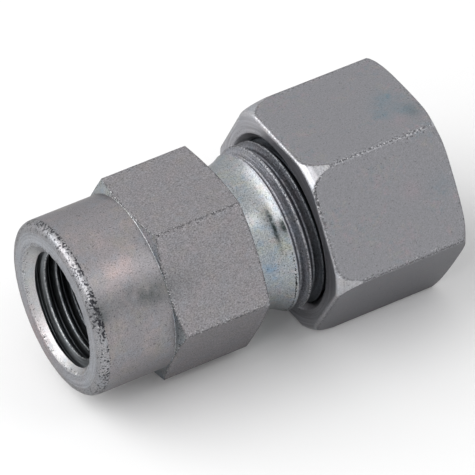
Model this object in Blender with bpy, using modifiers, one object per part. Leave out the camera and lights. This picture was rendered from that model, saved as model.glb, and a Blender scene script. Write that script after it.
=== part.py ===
"""Gauge coupler: a steel pressure gauge adapter lying on a flat of its union nut.

A one-piece body is turned from 19 mm hexagon bar. Its barrel holds a countersunk G1/4 port for
the gauge. Its other end is an M18 x 1.5 stub with a 24 degree cone and a socket for 12 mm tube.
A union nut runs on the stub and traps the cutting ring that grips the tube.

The coupler's axis lies along X, with the gauge port towards -X. Turned outlines are lists of
(place along the axis, radius) in millimetres, in order of place, measured from the shoulder
where the body's hexagon ends and its neck begins. The model is in metres, +Z up, with its origin
under the middle of its bounding box.
"""
import math

import bmesh
import bpy

MM = 0.001
SIDES = 48                      # facets round every turned surface
ROUND_STEPS = 6                 # facets across the nut's rounded corners
WELD = 0.000001                 # points nearer than this are one point

# Body: barrel and hexagon
BARREL_DIAMETER = 18.9
BARREL_LENGTH = 8.5
BARREL_EDGE_ROUND = 1.0
BODY_ACROSS_FLATS = 19.0
BODY_HEX_LENGTH = 10.5
BODY_HEX_TURN = -1.9            # degrees that the body's flats stand off the nut's
BODY_PORT_CHAMFER = 16.0        # degrees off the hexagon's end face, as every chamfer below
BODY_NECK_CHAMFER = 12.0
BODY_CORNER_ROUND = 0.25

# Body: G1/4 gauge port
PORT_THREAD_DIAMETER = 13.157
PORT_THREAD_DEPTH = 0.856
PORT_THREAD_PITCH = 1.337
PORT_THREAD_FLANK = 27.5        # degrees, half of the angle between a thread's flanks
PORT_MOUTH_DIAMETER = 14.0
PORT_DEPTH = 13.0
PORT_THREAD_RUN = 11.0
DRILL_POINT = 59.0              # degrees between a drill's lip and its axis
THROUGH_BORE_DIAMETER = 4.0

# Body: undercut neck, stub thread, cone and tube socket
NECK_DIAMETER = 15.8
NECK_LENGTH = 2.9
NECK_ROOT_ROUND = 0.9
NECK_FLARE = 30.0               # degrees off the axis, from the neck up to the thread
STUB_LENGTH = 11.0
STUB_THREAD_DIAMETER = 18.0
STUB_THREAD_DEPTH = 0.92
STUB_THREAD_PITCH = 1.5
STUB_THREAD_FLANK = 30.0
THREAD_PLAY = 0.13              # radial play between the stub's thread and the nut's
THREAD_PHASE = 0.42             # place of a crest on the side that faces +Y
WHOLE_FLARE_DIAMETER = 17.1     # up to here the thread leaves the flare whole
THREAD_RUN_IN = 0.4             # how far the first groove takes to reach its depth
CONE_MOUTH_DIAMETER = 14.3
CONE_HALF_ANGLE = 12.0
TUBE_DIAMETER = 12.0
TUBE_CLEARANCE = 0.2            # what each hole that the tube passes adds to its diameter
TUBE_SOCKET_DEPTH = 7.0

# Union nut
NUT_ACROSS_FLATS = 22.0
NUT_LENGTH = 15.5
NUT_STAND_OFF = 6.95            # from the body's shoulder to the nut's mouth
NUT_MOUTH_DIAMETER = 19.3
NUT_FACE_DIAMETER = 23.0        # where the mouth's face starts to round off
NUT_CORNER_RUN = 4.5            # how far along the axis the corners round off
NUT_CORNER_ROUND = 0.4
NUT_TUBE_CHAMFER = 28.0
NUT_TUBE_FACE_DIAMETER = 21.6
NUT_THREAD_DEPTH = 0.812
NUT_THREAD_RUN = 9.0
NUT_BORE_DEPTH = 10.0

# Cutting ring
RING_COLLAR_DIAMETER = 15.4
RING_NOSE_WALL = 0.4
RING_TAPER_LENGTH = 2.6
RING_BACK_WALL = 0.5
RING_RELIEF_DEPTH = 0.3
RING_CUTTING_EDGE = 0.7         # length of each cutting edge along the tube
RING_GAP = 0.2                  # between the ring and each face that it seats on

# Places along the axis that more than one piece needs
CROSS_OVER = 1.0                # how far a cutter runs past the face that it opens
HEX_START = -BODY_HEX_LENGTH
PORT_FACE = HEX_START - BARREL_LENGTH
NUT_END = NUT_STAND_OFF + NUT_LENGTH
NUT_SHOULDER = NUT_STAND_OFF + NUT_BORE_DEPTH
SOCKET_FLOOR = STUB_LENGTH - TUBE_SOCKET_DEPTH
MIDDLE = (PORT_FACE + NUT_END) / 2.0
AXIS_HEIGHT = NUT_ACROSS_FLATS / 2.0
TUBE_HOLE = (TUBE_DIAMETER + TUBE_CLEARANCE) / 2.0

STEEL = (0.56, 0.56, 0.58, 1.0)
RING_STEEL = (0.42, 0.42, 0.40, 1.0)


def tangent(degrees):
    """Returns the tangent of an angle in degrees."""
    return math.tan(math.radians(degrees))


def arc(centre, radius, start, end, steps=3):
    """Returns points on an arc, its angles in degrees from the +X direction of an outline."""
    points = []
    for step in range(steps + 1):
        angle = math.radians(start + (end - start) * step / steps)
        points.append((centre[0] + radius * math.cos(angle), centre[1] + radius * math.sin(angle)))
    return points


def along(outline):
    """Returns a function that gives an outline's radius at a place."""
    def radius_at(place):
        for (x0, r0), (x1, r1) in zip(outline, outline[1:]):
            if x0 <= place <= x1 and x1 > x0:
                return r0 + (r1 - r0) * (place - x0) / (x1 - x0)
        return outline[0][1] if place < outline[0][0] else outline[-1][1]
    return radius_at


class Thread:
    """A right-hand thread: its crest and root radii, pitch, half flank angle and a crest's place."""

    SLIDES = 8                  # steps in which a lowered crest's corner finds its place

    def __init__(self, crest, depth, pitch, flank, crest_flat, phase):
        self.crest = crest
        self.root = crest - depth
        self.pitch = pitch
        self.phase = phase
        self.slope = tangent(flank)
        half_crest = crest_flat / 2.0
        foot = half_crest + depth * tangent(flank)
        self.corners = [(-half_crest, crest), (half_crest, crest), (foot, self.root), (pitch - foot, self.root)]

    def lowered(self, place, side, high):
        """Returns where a crest's corner lands when the outline high lowers it along its flank.

        The side is 1 for the corner ahead of the crest and -1 for the one behind it.
        """
        landed = place
        for _ in range(self.SLIDES):
            drop = min(max(self.crest - high(landed), 0.0), self.crest - self.root)
            landed = place + side * drop * self.slope
        return landed

    def column(self, start, end, turn, low, high):
        """Returns the thread's corners between two places, at a share of a turn.

        Each corner is kept between the outlines low and high. Corners that fall outside the two
        places gather on them, so every column has as many points and meets the next one.
        """
        first = math.floor((start - self.phase) / self.pitch) - 2
        last = math.ceil((end - self.phase) / self.pitch) + 1
        points = []
        for lap in range(first, last + 1):
            for offset, radius in self.corners:
                place = self.phase + (lap + turn) * self.pitch + offset
                if radius == self.crest:
                    place = self.lowered(place, math.copysign(1.0, offset), high)
                place = min(max(place, start), end)
                points.append((place, max(low(place), min(high(place), radius))))
        return points


def new_collection(name):
    """Returns a new collection in the scene."""
    made = bpy.data.collections.new(name)
    bpy.context.scene.collection.children.link(made)
    return made


def metal(name, colour, roughness):
    """Returns a bare metal material."""
    material = bpy.data.materials.new(name)
    material.use_nodes = True
    shader = material.node_tree.nodes["Principled BSDF"]
    shader.inputs["Base Color"].default_value = colour
    shader.inputs["Roughness"].default_value = roughness
    shader.inputs["Metallic"].default_value = 1.0
    return material


def on_axis(name, mesh, where):
    """Links a mesh as an object whose origin lies on the coupler's axis."""
    made = bpy.data.objects.new(name, mesh)
    made.location = (-MIDDLE * MM, 0.0, AXIS_HEIGHT * MM)
    where.objects.link(made)
    return made


def turned(name, outline, where, solid=True):
    """Turns an outline round the axis with a Screw modifier.

    A solid outline is closed onto the axis at both ends. Otherwise the outline is already a loop
    that ends where it starts, its outer side first.
    """
    points = [(outline[0][0], 0.0)] + outline + [(outline[-1][0], 0.0)] if solid else outline
    # the modifier turns round Z, and a profile on its +X side runs from top to bottom
    profile = [(radius * MM, 0.0, place * MM) for place, radius in reversed(points)]
    mesh = bpy.data.meshes.new(name)
    if solid:
        edges = [(i, i + 1) for i in range(len(profile) - 1)]
    else:
        edges = [(i, (i + 1) % len(profile)) for i in range(len(profile))]
    mesh.from_pydata(profile, edges, [])
    made = on_axis(name, mesh, where)
    made.rotation_euler = (0.0, math.pi / 2.0, 0.0)
    screw = made.modifiers.new("Turned", "SCREW")
    screw.axis = "Z"
    screw.angle = 2.0 * math.pi
    screw.steps = SIDES
    screw.render_steps = SIDES
    screw.use_merge_vertices = True
    screw.merge_threshold = WELD
    screw.use_smooth_shade = False
    return made


def threaded(name, before, thread, run, after, low, high, where):
    """Skins a solid with a helical thread between two plain turned stretches.

    Args:
        name: The object's name.
        before: Outline points ahead of the thread.
        thread: The Thread that is cut.
        run: The places where the thread's stretch starts and ends.
        after: Outline points behind the thread.
        low: Outline that the thread's surface never sinks below.
        high: Outline that it never rises above.
        where: The collection that takes the object.
    """
    shape = bmesh.new()
    columns = []
    for side in range(SIDES + 1):
        angle = 2.0 * math.pi * (side % SIDES) / SIDES
        points = before + thread.column(*run, side / SIDES, along(low), along(high)) + after
        columns.append([
            shape.verts.new((x * MM, r * math.cos(angle) * MM, r * math.sin(angle) * MM)) for x, r in points])
    for near, far in zip(columns, columns[1:]):
        for step in range(len(near) - 1):
            shape.faces.new((near[step], near[step + 1], far[step + 1], far[step]))
    for end in (0, -1):
        shape.faces.new([column[end] for column in columns[:-1]])
    bmesh.ops.remove_doubles(shape, verts=shape.verts, dist=WELD)
    bmesh.ops.triangulate(shape, faces=[face for face in shape.faces if len(face.verts) == 4])
    bmesh.ops.recalc_face_normals(shape, faces=shape.faces)
    mesh = bpy.data.meshes.new(name)
    shape.to_mesh(mesh)
    shape.free()
    return on_axis(name, mesh, where)


def hexagon_bar(name, across_flats, corner_round, start, end, turn, where):
    """Makes a length of hexagon bar along the axis, its corners lightly rounded."""
    shape = bmesh.new()
    radius = across_flats / math.sqrt(3.0) * MM
    bmesh.ops.create_cone(shape, cap_ends=True, segments=6, radius1=radius, radius2=radius, depth=(end - start) * MM)
    mesh = bpy.data.meshes.new(name)
    shape.to_mesh(mesh)
    shape.free()
    bar = on_axis(name, mesh, where)
    bar.location.x += (start + end) / 2.0 * MM
    # laid along X, the bar keeps a corner towards +Y until it is turned about its own axis
    bar.rotation_mode = "ZYX"
    bar.rotation_euler = (math.radians(turn), math.pi / 2.0, 0.0)
    bevel = bar.modifiers.new("Corners", "BEVEL")
    bevel.width = corner_round * MM
    bevel.segments = 2
    bevel.limit_method = "ANGLE"
    bevel.angle_limit = math.radians(50.0)
    return bar


def combine(target, operation, tools):
    """Adds one Boolean modifier to the target for each tool."""
    for tool in tools:
        boolean = target.modifiers.new(tool.name, "BOOLEAN")
        boolean.operation = operation
        boolean.solver = "EXACT"
        boolean.object = tool


def body_blank(cutters, parts):
    """Turns the barrel and the hexagon's chamfered collar, and cuts the six flats."""
    barrel = BARREL_DIAMETER / 2.0
    corner = BODY_ACROSS_FLATS / math.sqrt(3.0) + 0.2
    outline = arc((PORT_FACE + BARREL_EDGE_ROUND, barrel - BARREL_EDGE_ROUND), BARREL_EDGE_ROUND, 180.0, 90.0, 4)
    outline += [
        (HEX_START, barrel),
        (HEX_START + (corner - barrel) * tangent(BODY_PORT_CHAMFER), corner),
        (-(corner - barrel) * tangent(BODY_NECK_CHAMFER), corner),
        (0.0, barrel),
    ]
    blank = turned("coupler_body", outline, parts)
    bar = hexagon_bar(
        "body_hexagon_bar", BODY_ACROSS_FLATS, BODY_CORNER_ROUND,
        PORT_FACE - CROSS_OVER, CROSS_OVER, BODY_HEX_TURN, cutters)
    combine(blank, "INTERSECT", [bar])
    return blank


def stub_thread(play):
    """Returns the M18 x 1.5 thread of the stub, its crest lowered by the play."""
    crest = STUB_THREAD_DIAMETER / 2.0 - play
    return Thread(
        crest, STUB_THREAD_DEPTH, STUB_THREAD_PITCH, STUB_THREAD_FLANK, STUB_THREAD_PITCH / 8.0, THREAD_PHASE)


def stub(cutters):
    """Makes the undercut neck and the threaded stub, rooted inside the hexagon."""
    thread = stub_thread(THREAD_PLAY / 2.0)
    neck = NECK_DIAMETER / 2.0
    flare = (thread.crest - neck) / tangent(NECK_FLARE)
    root = NECK_ROOT_ROUND
    outline = [(-CROSS_OVER * 2.0, neck + root), (0.0, neck + root)]
    outline += arc((root, neck + root), root, 180.0, 270.0)[1:]
    outline += [(NECK_LENGTH, neck)]
    chamfer = thread.crest - thread.root
    envelope = [
        (NECK_LENGTH, neck),
        (NECK_LENGTH + flare, thread.crest),
        (STUB_LENGTH - chamfer, thread.crest),
        (STUB_LENGTH, thread.root),
    ]
    whole_flare = WHOLE_FLARE_DIAMETER / 2.0
    whole_end = NECK_LENGTH + (whole_flare - neck) / tangent(NECK_FLARE)
    floor = [
        (NECK_LENGTH, neck),
        (whole_end, whole_flare),
        (whole_end + THREAD_RUN_IN, thread.root),
        (STUB_LENGTH, thread.root),
    ]
    return threaded(
        "threaded_stub", outline, thread, (NECK_LENGTH, STUB_LENGTH), [], floor, envelope, cutters)


def port_cutter(cutters):
    """Makes the tool that sinks the gauge port and the bore behind it."""
    major = PORT_THREAD_DIAMETER / 2.0
    minor = major - PORT_THREAD_DEPTH
    crest_flat = PORT_THREAD_PITCH / 2.0 - PORT_THREAD_DEPTH * tangent(PORT_THREAD_FLANK)
    thread = Thread(major, PORT_THREAD_DEPTH, PORT_THREAD_PITCH, PORT_THREAD_FLANK, crest_flat, PORT_FACE)
    mouth = PORT_MOUTH_DIAMETER / 2.0
    bore = THROUGH_BORE_DIAMETER / 2.0
    thread_end = PORT_FACE + PORT_THREAD_RUN
    floor = PORT_FACE + PORT_DEPTH
    countersink = [
        (PORT_FACE - CROSS_OVER, mouth + CROSS_OVER),
        (PORT_FACE, mouth),
        (PORT_FACE + mouth - minor, minor),
        (thread_end, minor),
    ]
    run_out = [(PORT_FACE, mouth), (thread_end - PORT_THREAD_PITCH, mouth), (thread_end, minor)]
    behind = [
        (floor, minor),
        (floor + (minor - bore) / tangent(DRILL_POINT), bore),
        (SOCKET_FLOOR + CROSS_OVER, bore),
    ]
    return threaded(
        "port_cutter", countersink[:1], thread, (PORT_FACE, thread_end), behind, countersink, run_out, cutters)


def tube_cutter(cutters):
    """Makes the tool that sinks the 24 degree cone and the tube's socket."""
    mouth = CONE_MOUTH_DIAMETER / 2.0
    cone = tangent(CONE_HALF_ANGLE)
    outline = [
        (SOCKET_FLOOR, TUBE_HOLE),
        (STUB_LENGTH - (mouth - TUBE_HOLE) / cone, TUBE_HOLE),
        (STUB_LENGTH + CROSS_OVER, mouth + CROSS_OVER * cone),
    ]
    return turned("tube_cutter", outline, cutters)


def coupler_body(cutters, parts):
    """Builds the one-piece body."""
    body = body_blank(cutters, parts)
    combine(body, "UNION", [stub(cutters)])
    combine(body, "DIFFERENCE", [port_cutter(cutters), tube_cutter(cutters)])
    return body


def nut_cutter(cutters):
    """Makes the tool that sinks the nut's mouth, thread, bore, 45 degree shoulder and tube hole."""
    major = STUB_THREAD_DIAMETER / 2.0 + THREAD_PLAY / 2.0
    thread = Thread(
        major, NUT_THREAD_DEPTH, STUB_THREAD_PITCH, STUB_THREAD_FLANK, STUB_THREAD_PITCH / 8.0, THREAD_PHASE)
    mouth = NUT_MOUTH_DIAMETER / 2.0
    thread_end = NUT_STAND_OFF + NUT_THREAD_RUN
    countersink = [
        (NUT_STAND_OFF - CROSS_OVER, mouth + CROSS_OVER),
        (NUT_STAND_OFF, mouth),
        (NUT_STAND_OFF + mouth - thread.root, thread.root),
        (thread_end, thread.root),
    ]
    run_out = [(NUT_STAND_OFF, mouth), (thread_end - STUB_THREAD_PITCH, mouth), (thread_end, thread.root)]
    behind = [
        (NUT_SHOULDER, thread.root),
        (NUT_SHOULDER + thread.root - TUBE_HOLE, TUBE_HOLE),
        (NUT_END + CROSS_OVER, TUBE_HOLE),
    ]
    return threaded(
        "nut_cutter", countersink[:1], thread, (NUT_STAND_OFF, thread_end), behind, countersink, run_out, cutters)


def union_nut(cutters, parts):
    """Builds the union nut: chamfered hexagon bar with a threaded bore."""
    corner = NUT_ACROSS_FLATS / math.sqrt(3.0)
    face = NUT_FACE_DIAMETER / 2.0
    tube_face = NUT_TUBE_FACE_DIAMETER / 2.0
    # a quarter ellipse takes the corners from the mouth's face to the sides
    outline = []
    for step in range(ROUND_STEPS + 1):
        angle = math.pi / 2.0 * step / ROUND_STEPS
        place = NUT_STAND_OFF + NUT_CORNER_RUN * (1.0 - math.cos(angle))
        outline.append((place, face + (corner - face) * math.sin(angle)))
    outline += [
        (NUT_END - (corner - tube_face) * tangent(NUT_TUBE_CHAMFER), corner),
        (NUT_END, tube_face),
    ]
    nut = turned("union_nut", outline, parts)
    bar = hexagon_bar(
        "nut_hexagon_bar", NUT_ACROSS_FLATS, NUT_CORNER_ROUND,
        NUT_STAND_OFF - CROSS_OVER, NUT_END + CROSS_OVER, 0.0, cutters)
    combine(nut, "INTERSECT", [bar])
    combine(nut, "DIFFERENCE", [nut_cutter(cutters)])
    return nut


def cutting_ring(parts):
    """Turns the ring between the body's cone and the nut's shoulder, with two cutting edges inside."""
    cone = tangent(CONE_HALF_ANGLE)
    nose = TUBE_HOLE + RING_NOSE_WALL
    # the taper runs parallel to the cone, RING_GAP away from it
    lift = RING_GAP / math.cos(math.radians(CONE_HALF_ANGLE))
    start = STUB_LENGTH - (CONE_MOUTH_DIAMETER / 2.0 - nose - lift) / cone
    collar = RING_COLLAR_DIAMETER / 2.0
    back = TUBE_HOLE + RING_BACK_WALL
    taper_end = start + RING_TAPER_LENGTH
    taper_top = nose + RING_TAPER_LENGTH * cone
    nut_bore = STUB_THREAD_DIAMETER / 2.0 + THREAD_PLAY / 2.0 - NUT_THREAD_DEPTH
    collar_end = NUT_SHOULDER + nut_bore - collar - RING_GAP * math.sqrt(2.0)
    end = collar_end + collar - back
    relief = TUBE_HOLE + RING_RELIEF_DEPTH
    edge = RING_CUTTING_EDGE
    outer = [
        (start, nose),
        (taper_end, taper_top),
        (taper_end + collar - taper_top, collar),
        (collar_end, collar),
        (end, back),
    ]
    inner = [
        (end, TUBE_HOLE),
        (taper_end, TUBE_HOLE),
        (taper_end, relief),
        (taper_end - edge, relief),
        (taper_end - edge, TUBE_HOLE),
        (start + edge, TUBE_HOLE),
        (start + edge, relief - RING_RELIEF_DEPTH / 2.0),
        (start, TUBE_HOLE),
    ]
    return turned("cutting_ring", outer + inner, parts, solid=False)


def main():
    """Clears the scene and builds the coupler's three pieces."""
    for old in list(bpy.data.objects):
        bpy.data.objects.remove(old, do_unlink=True)
    parts = new_collection("gauge_coupler")
    cutters = new_collection("cutters")
    body = coupler_body(cutters, parts)
    nut = union_nut(cutters, parts)
    ring = cutting_ring(parts)
    body.data.materials.append(metal("zinc_plated_body", STEEL, 0.42))
    nut.data.materials.append(metal("zinc_plated_nut", STEEL, 0.38))
    ring.data.materials.append(metal("phosphated_ring", RING_STEEL, 0.5))
    for cutter in cutters.objects:
        cutter.hide_render = True
        cutter.display_type = "WIRE"


if __name__ == "__main__":
    main()
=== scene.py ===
"""Looks of a steel gauge coupler: the turned body, its union nut and the cutting ring inside.

Each piece is one closed skin. Its outline is drawn in the plane of every column round the
coupler's axis, and the columns are joined like the staves of a barrel. An outline's points are
(place along the axis, radius) in millimetres. Places are measured from the shoulder where the
body's hexagon ends and its neck begins, and columns turn from the side that faces +Y towards +Z.
"""

import logging
import math
from collections.abc import Mapping, Sequence
from dataclasses import dataclass
from enum import Enum, IntEnum

import bmesh
import bpy
import numpy as np
from mathutils import Matrix, Vector


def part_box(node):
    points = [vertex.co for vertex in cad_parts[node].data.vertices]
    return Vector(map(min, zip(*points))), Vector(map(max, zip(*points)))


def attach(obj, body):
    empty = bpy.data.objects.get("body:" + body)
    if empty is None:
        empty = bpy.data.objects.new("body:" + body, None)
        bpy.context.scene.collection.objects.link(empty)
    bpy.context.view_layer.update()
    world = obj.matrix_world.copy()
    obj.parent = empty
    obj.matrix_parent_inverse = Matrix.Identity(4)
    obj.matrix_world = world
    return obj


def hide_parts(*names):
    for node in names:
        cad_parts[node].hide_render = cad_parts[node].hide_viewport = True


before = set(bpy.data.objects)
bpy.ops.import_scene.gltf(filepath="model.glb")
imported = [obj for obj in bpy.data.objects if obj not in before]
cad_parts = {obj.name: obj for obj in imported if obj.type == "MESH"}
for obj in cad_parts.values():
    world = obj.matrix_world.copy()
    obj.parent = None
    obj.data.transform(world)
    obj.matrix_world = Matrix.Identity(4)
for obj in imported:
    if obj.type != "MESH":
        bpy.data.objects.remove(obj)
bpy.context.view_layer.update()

log = logging.getLogger("gauge_coupler")

MM = 0.001
WELD = 0.0000002                # points nearer than this, in metres, are one point
ROUND_STEPS = 5                 # facets across a small rounded edge
ROUND_FACET = 0.10              # millimetres between the facets of a large one
MOST_OF_A_SIDE = 0.45           # share of a side that a rounded edge may take
SHARP_ANGLE = math.radians(60.0)
WORN = "worn"                   # attribute that says how far tumbling has pitted the surface
SCUFFED = "scuffed"             # attribute that is 1 along the thin dark line of a sharp edge
OIL_AND_SHADE = "oiled_and_shaded"                 # attribute that is 1 where oil and painted shade darken the surface
WORN_WIDTH = 0.55               # millimetres over which the pits fade from a worn edge
SCUFF_WIDTH = 0.10              # millimetres over which the dark line fades
CORNER_WEAR = 0.5               # how pitted a corner is that runs along a side
NEAR_PITS = 0.3                 # share of an edge's pits that its near side has
FAR_OFF = 100.0                 # millimetres, more than any size or distance here

Values = float | np.ndarray


class Surface(IntEnum):
    """The kinds of surface on a piece, in the order of its material slots."""

    TURNED = 0
    FLAT = 1
    BRIGHT = 2
    THREAD = 3
    BORE = 4
    FACE = 5
    RIM = 6
    PORT = 7
    COUNTERSINK = 8


INSIDE = (Surface.THREAD, Surface.BORE, Surface.PORT)


class Tint(Enum):
    """The colours of thin passivate and of an oil film, each with its point attribute's name. The film's
    patches also paint dark reflections, and one pink patch paints part of a highlight.
    """

    PINK_AND_HIGHLIGHT = "pink_bloom_and_highlight"
    STRAW = "straw_bloom"
    BLUE = "blue_bloom"
    FILM_AND_PAINTED_SHADE = "oil_film_and_painted_shade"


def tangent(degrees: float) -> float:
    """Returns the tangent of an angle in degrees."""
    return math.tan(math.radians(degrees))


def linear(colour: str) -> tuple[float, float, float, float]:
    """Turns an sRGB hex colour into the linear colour that a shader takes.

    Args:
        colour: Six hex digits, with a number sign before them.

    Returns:
        Red, green, blue and an alpha of 1.
    """
    parts = [int(colour[start:start + 2], 16) / 255.0 for start in (1, 3, 5)]
    red, green, blue = [
        part / 12.92 if part <= 0.04045 else ((part + 0.055) / 1.055) ** 2.4 for part in parts]
    return red, green, blue, 1.0


def off_angle(angles: np.ndarray, middle: float) -> np.ndarray:
    """Returns how far angles lie from a middle one, in degrees from -180 to 180."""
    return (angles - middle + 180.0) % 360.0 - 180.0


@dataclass(frozen=True)
class Patch:
    """A patch of passivate colour or oil film on a piece's outside, with soft edges. Some paint a dark
    reflection, and one paints part of a highlight.
    """

    tint: Tint
    place: float                # mm along the axis
    angle: float                # degrees round it
    length: float               # mm from its middle to where it has mostly faded
    width: float                # degrees from its middle to where it has mostly faded
    strength: float

    def cover(self, place: np.ndarray, angles: np.ndarray) -> np.ndarray:
        """Works out how strong the patch is at each point.

        Args:
            place: The points' places along the axis, in millimetres.
            angles: Their columns' angles in degrees.

        Returns:
            The patch's strength at each point.
        """
        along = (place - self.place) / self.length
        around = off_angle(angles, self.angle) / self.width
        return self.strength * np.exp(-along ** 2 - around ** 2)


@dataclass(frozen=True)
class HexagonBar:
    """Hexagon bar seen along the axis: its flats, its rounded corners and how far it is turned."""

    across_flats: float
    corner_round: float
    across_corners: float = FAR_OFF     # size to which tumbling has worn the corners down
    turn: float = 0.0                   # degrees
    flat_steps: int = 28
    corner_steps: int = 6
    first_side: int = 5                 # the columns start where the stub's first groove does

    @property
    def apothem(self) -> float:
        """Half of the size across the flats."""
        return self.across_flats / 2.0

    def flat_half_angle(self) -> float:
        """Returns half of the angle, in degrees, that a flat covers between its rounded corners."""
        half_width = (self.apothem - self.corner_round) * tangent(30.0)
        return math.degrees(math.atan2(half_width, self.apothem))

    def columns(self) -> np.ndarray:
        """Spaces the columns over one full turn, closer together near the corners.

        Returns:
            Their angles in degrees, the last one a full turn after the first.
        """
        half = self.flat_half_angle()
        across = -half * np.cos(np.pi * np.arange(self.flat_steps + 1) / self.flat_steps)
        round_corner = np.linspace(half, 60.0 - half, self.corner_steps + 1)[1:-1]
        sector = np.concatenate([across, round_corner])
        sides = range(self.first_side, self.first_side + 6)
        angles = np.concatenate([30.0 + 60.0 * side + self.turn + sector for side in sides])
        return np.append(angles, angles[0] + 360.0)

    def off_middle(self, angles: np.ndarray) -> np.ndarray:
        """Returns how many degrees each column lies from the middle of its flat."""
        return np.abs((angles - self.turn) % 60.0 - 30.0)

    def radius(self, angles: np.ndarray) -> np.ndarray:
        """Works out the bar's radius, over its flats and its rounded corners.

        Args:
            angles: The columns' angles in degrees.

        Returns:
            The radius in each column.
        """
        off = np.radians(self.off_middle(angles))
        flat = self.apothem / np.cos(off)
        centre = (self.apothem - self.corner_round) / math.cos(math.radians(30.0))
        from_corner = math.radians(30.0) - off
        under_root = np.maximum(self.corner_round ** 2 - (centre * np.sin(from_corner)) ** 2, 0.0)
        corner = centre * np.cos(from_corner) + np.sqrt(under_root)
        corner = np.minimum(corner, self.across_corners / 2.0)
        return np.where(off <= math.radians(self.flat_half_angle()), flat, corner)

    def from_corner(self, angles: np.ndarray) -> np.ndarray:
        """Returns how far each column lies from the nearest corner, in millimetres across the flat."""
        return self.apothem * (tangent(30.0) - np.tan(np.radians(self.off_middle(angles))))


@dataclass(frozen=True)
class Side:
    """One side of an outline in every column, with the edge at its far end."""

    points: np.ndarray          # columns by points by (place, radius)
    surface: Surface
    steps: int
    round_off: float            # how far the edge's rounding reaches along each side, in mm
    edge: Surface               # what the rounded edge is
    worn: np.ndarray            # by column
    scuffed: np.ndarray         # by column
    corner_gap: np.ndarray      # distance to a scuffed corner that runs along the side, by column

    def lengths(self) -> np.ndarray:
        """Returns the running length of each column's points."""
        steps = np.linalg.norm(np.diff(self.points, axis=1), axis=2)
        return np.concatenate([np.zeros((len(steps), 1)), np.cumsum(steps, axis=1)], axis=1)

    def trimmed(self, first_cut: float, last_cut: float) -> tuple[np.ndarray, np.ndarray, np.ndarray]:
        """Spaces points along the side, closer together towards its ends.

        Args:
            first_cut: Length that the rounded edge before the side takes.
            last_cut: Length that the rounded edge after it takes.

        Returns:
            The points, their distances from the side's start and the side's length by column.
        """
        lengths = self.lengths()
        whole = lengths[:, -1:]
        start = np.minimum(first_cut, MOST_OF_A_SIDE * whole)
        stop = whole - np.minimum(last_cut, MOST_OF_A_SIDE * whole)
        share = (1.0 - np.cos(np.pi * np.arange(self.steps + 1) / self.steps)) / 2.0
        places = start + (stop - start) * share
        spaced = np.empty((*places.shape, 2))
        for column, (along, known, points) in enumerate(zip(places, lengths, self.points)):
            for axis in (0, 1):
                spaced[column, :, axis] = np.interp(along, known, points[:, axis])
        return spaced, places, whole


class Outline:
    """An open chain of sides, drawn in every column at once."""

    def __init__(self, columns: int, place: Values, radius: Values) -> None:
        """Starts the chain.

        Args:
            columns: How many columns the skin has.
            place: Where the chain starts along the axis, in millimetres.
            radius: Its radius there.
        """
        self.columns = columns
        self.sides: list[Side] = []
        self.end = self.spread(place, radius)

    def spread(self, place: Values, radius: Values) -> np.ndarray:
        """Returns one point for every column."""
        ones = np.ones(self.columns)
        return np.stack([ones * place, ones * radius], axis=1)

    def curve(self, points: np.ndarray, surface: Surface, steps: int = 6, round_off: float = 0.0,
              edge: Surface | None = None, worn: Values = 0.0, scuffed: Values = 0.0,
              corner_gap: Values = FAR_OFF) -> None:
        """Adds a curved side through points.

        Args:
            points: Columns by points by (place, radius), without the chain's present end.
            surface: The kind of surface that the side has.
            steps: How many facets the side gets along the outline.
            round_off: How far the rounding of the edge at its far end reaches, in millimetres.
            edge: The kind of surface that the rounding is, if not the side's own.
            worn: How pitted that edge is, from 0 to 1.
            scuffed: How dark the line along that edge is, from 0 to 1.
            corner_gap: How far each column is from a corner that runs along the side.
        """
        through = np.concatenate([self.end[:, None, :], points], axis=1)
        ones = np.ones(self.columns)
        self.sides.append(Side(
            through, surface, steps, round_off, surface if edge is None else edge, ones * worn,
            ones * scuffed, ones * corner_gap))
        self.end = points[:, -1]

    def line(self, place: Values, radius: Values, surface: Surface, **more: Values) -> None:
        """Adds a straight side to a point. What else it takes is as for a curve."""
        self.curve(self.spread(place, radius)[:, None, :], surface, **more)


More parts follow.
